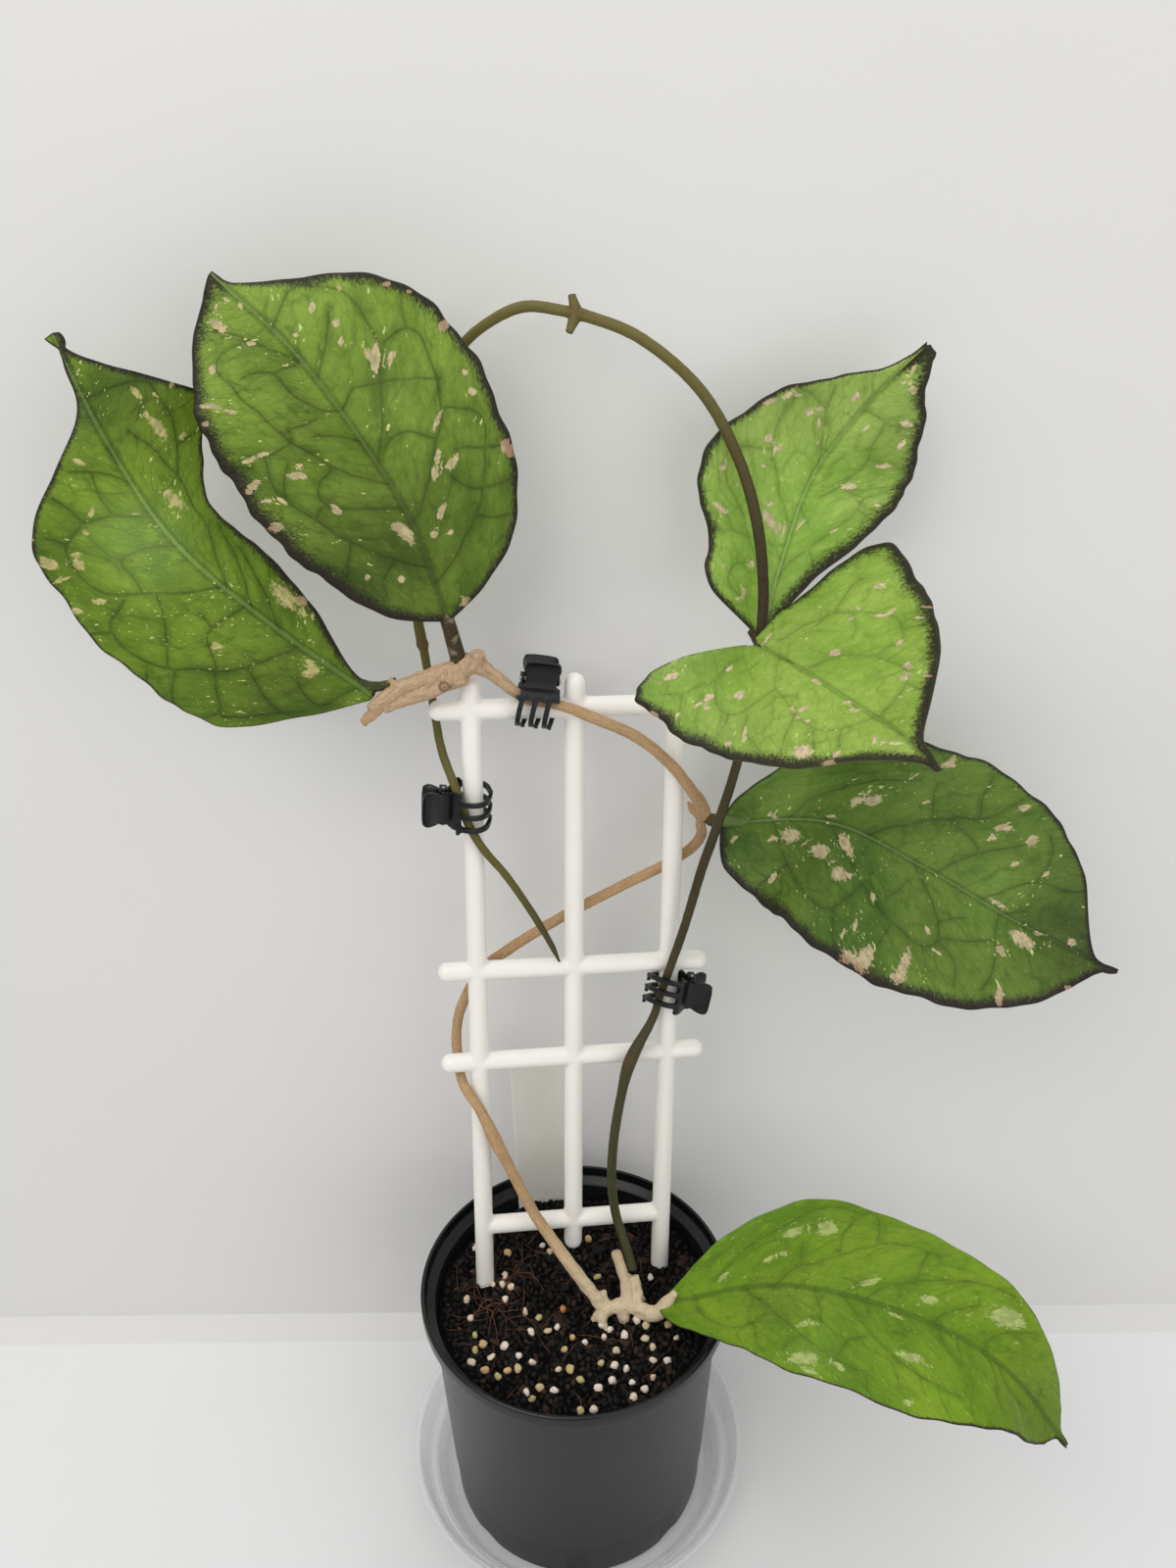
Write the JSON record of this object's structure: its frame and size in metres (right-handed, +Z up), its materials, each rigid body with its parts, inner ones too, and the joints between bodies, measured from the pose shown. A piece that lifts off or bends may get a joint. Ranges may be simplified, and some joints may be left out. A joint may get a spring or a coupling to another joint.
{
  "type": "potted climbing houseplant",
  "caption": "Potted hoya priktai: broad waxy leaves on twining stems, clipped to a ladder trellis in a round nursery pot on a clear saucer.",
  "frame": {"origin": "centre of the saucer's underside, on the pot's axis", "axes": "+Z up, +Y away from the viewer, +X to the viewer's right"},
  "size_m": [0.2864, 0.115, 0.3916],
  "materials": {
    "clear_plastic": "clear, glossy",
    "pot_plastic": "satin",
    "potting_mix": "loose, matte",
    "trellis_plastic": "satin",
    "label_plastic": "matte",
    "woody_stem": "dry bark",
    "green_stem": "smooth skin",
    "leaf_green": "waxy satin",
    "leaf_bright": "waxy satin",
    "leaf_dark": "waxy satin",
    "clip_plastic": "satin",
    "spring_steel": "bright wire"
  },
  "bodies": {
    "plant_in_pot": {"saucer": "clear_plastic", "pot": "pot_plastic", "potting_mix": "potting_mix", "trellis": "trellis_plastic", "plant_label": "label_plastic", "woody_vine": "woody_stem", "green_vine": "green_stem", "leaf_far_left": "leaf_green", "leaf_upper_left": "leaf_green", "leaf_upper_right": "leaf_green", "leaf_mid_right": "leaf_bright", "leaf_lower_right": "leaf_dark", "leaf_base_right": "leaf_bright", "clip_top_back_jaw": "clip_plastic", "clip_top_spring": "spring_steel", "clip_top_pin": "spring_steel", "clip_left_back_jaw": "clip_plastic", "clip_left_spring": "spring_steel", "clip_left_pin": "spring_steel", "clip_right_back_jaw": "clip_plastic", "clip_right_spring": "spring_steel", "clip_right_pin": "spring_steel"},
    "clip_top_front": {"clip_top_front_jaw": "clip_plastic"},
    "clip_left_front": {"clip_left_front_jaw": "clip_plastic"},
    "clip_right_front": {"clip_right_front_jaw": "clip_plastic"}
  },
  "joints": [
    {"name": "clip_top_hinge", "type": "hinge", "parent": "plant_in_pot", "child": "clip_top_front", "pos_m": [-0.00704, 0.03884, 0.28386], "axis": [-0.9803, -0.0969, 0.1719], "range_deg": [0, 28], "stiffness_Nm_per_rad": 0.01, "springref_deg": -20.05},
    {"name": "clip_left_hinge", "type": "hinge", "parent": "plant_in_pot", "child": "clip_left_front", "pos_m": [-0.03563, 0.02994, 0.24887], "axis": [-0.0691, -0.1532, -0.9858], "range_deg": [0, 28], "stiffness_Nm_per_rad": 0.01, "springref_deg": -20.05},
    {"name": "clip_right_hinge", "type": "hinge", "parent": "plant_in_pot", "child": "clip_right_front", "pos_m": [0.03658, 0.02929, 0.18241], "axis": [0.1893, 0.1655, 0.9679], "range_deg": [0, 28], "stiffness_Nm_per_rad": 0.01, "springref_deg": -20.05}
  ]
}
